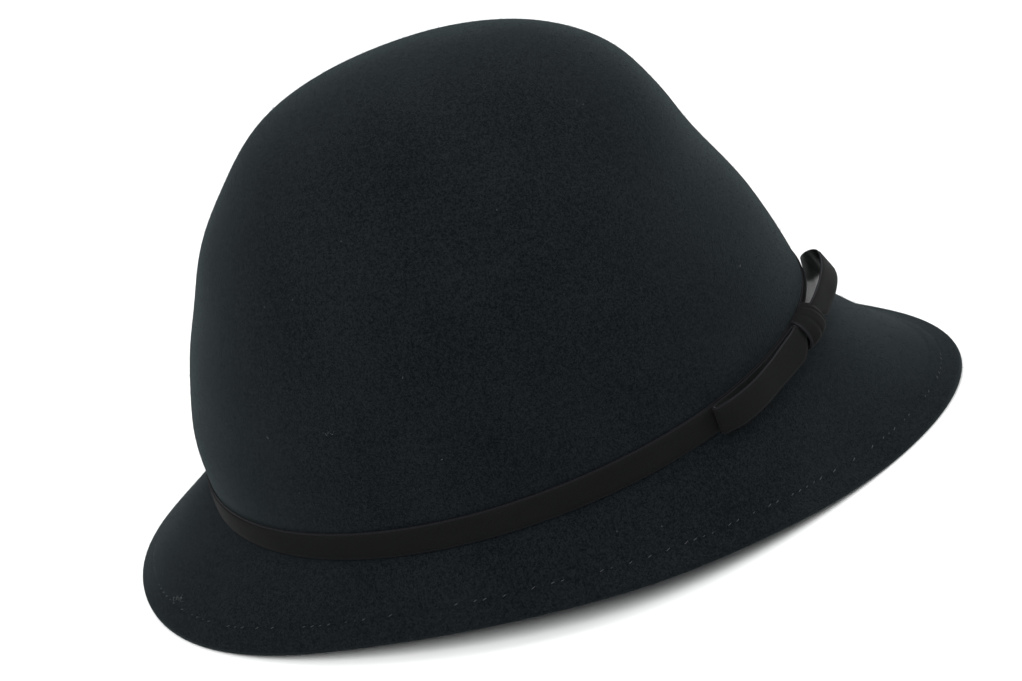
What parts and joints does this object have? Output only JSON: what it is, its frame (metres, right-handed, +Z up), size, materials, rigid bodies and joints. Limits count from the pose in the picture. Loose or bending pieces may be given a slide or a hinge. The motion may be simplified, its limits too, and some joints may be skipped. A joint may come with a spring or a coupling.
{
  "type": "cloche hat",
  "caption": "Bell-shaped felt hat: rounded crown and down-turned brim in one piece, with a narrow velvet ribbon and a flat side bow.",
  "frame": {"origin": "middle of the rim's outline, on the surface that the hat stands on", "axes": "+Z up; the front of the hat points along -Y and the wearer's right along -X"},
  "size_m": [0.2074, 0.2902, 0.1586],
  "materials": {
    "felt": "matt blue-black wool felt with a short nap",
    "velvet_ribbon": "black velvet ribbon with a fine woven edge",
    "bow_ribbon": "black velvet ribbon with a satin back"
  },
  "bodies": {
    "root": {"felt_body": "felt", "ribbon_band": "velvet_ribbon", "bow_loop_right": "bow_ribbon", "bow_loop_left": "bow_ribbon", "bow_knot": "bow_ribbon"}
  },
  "joints": []
}
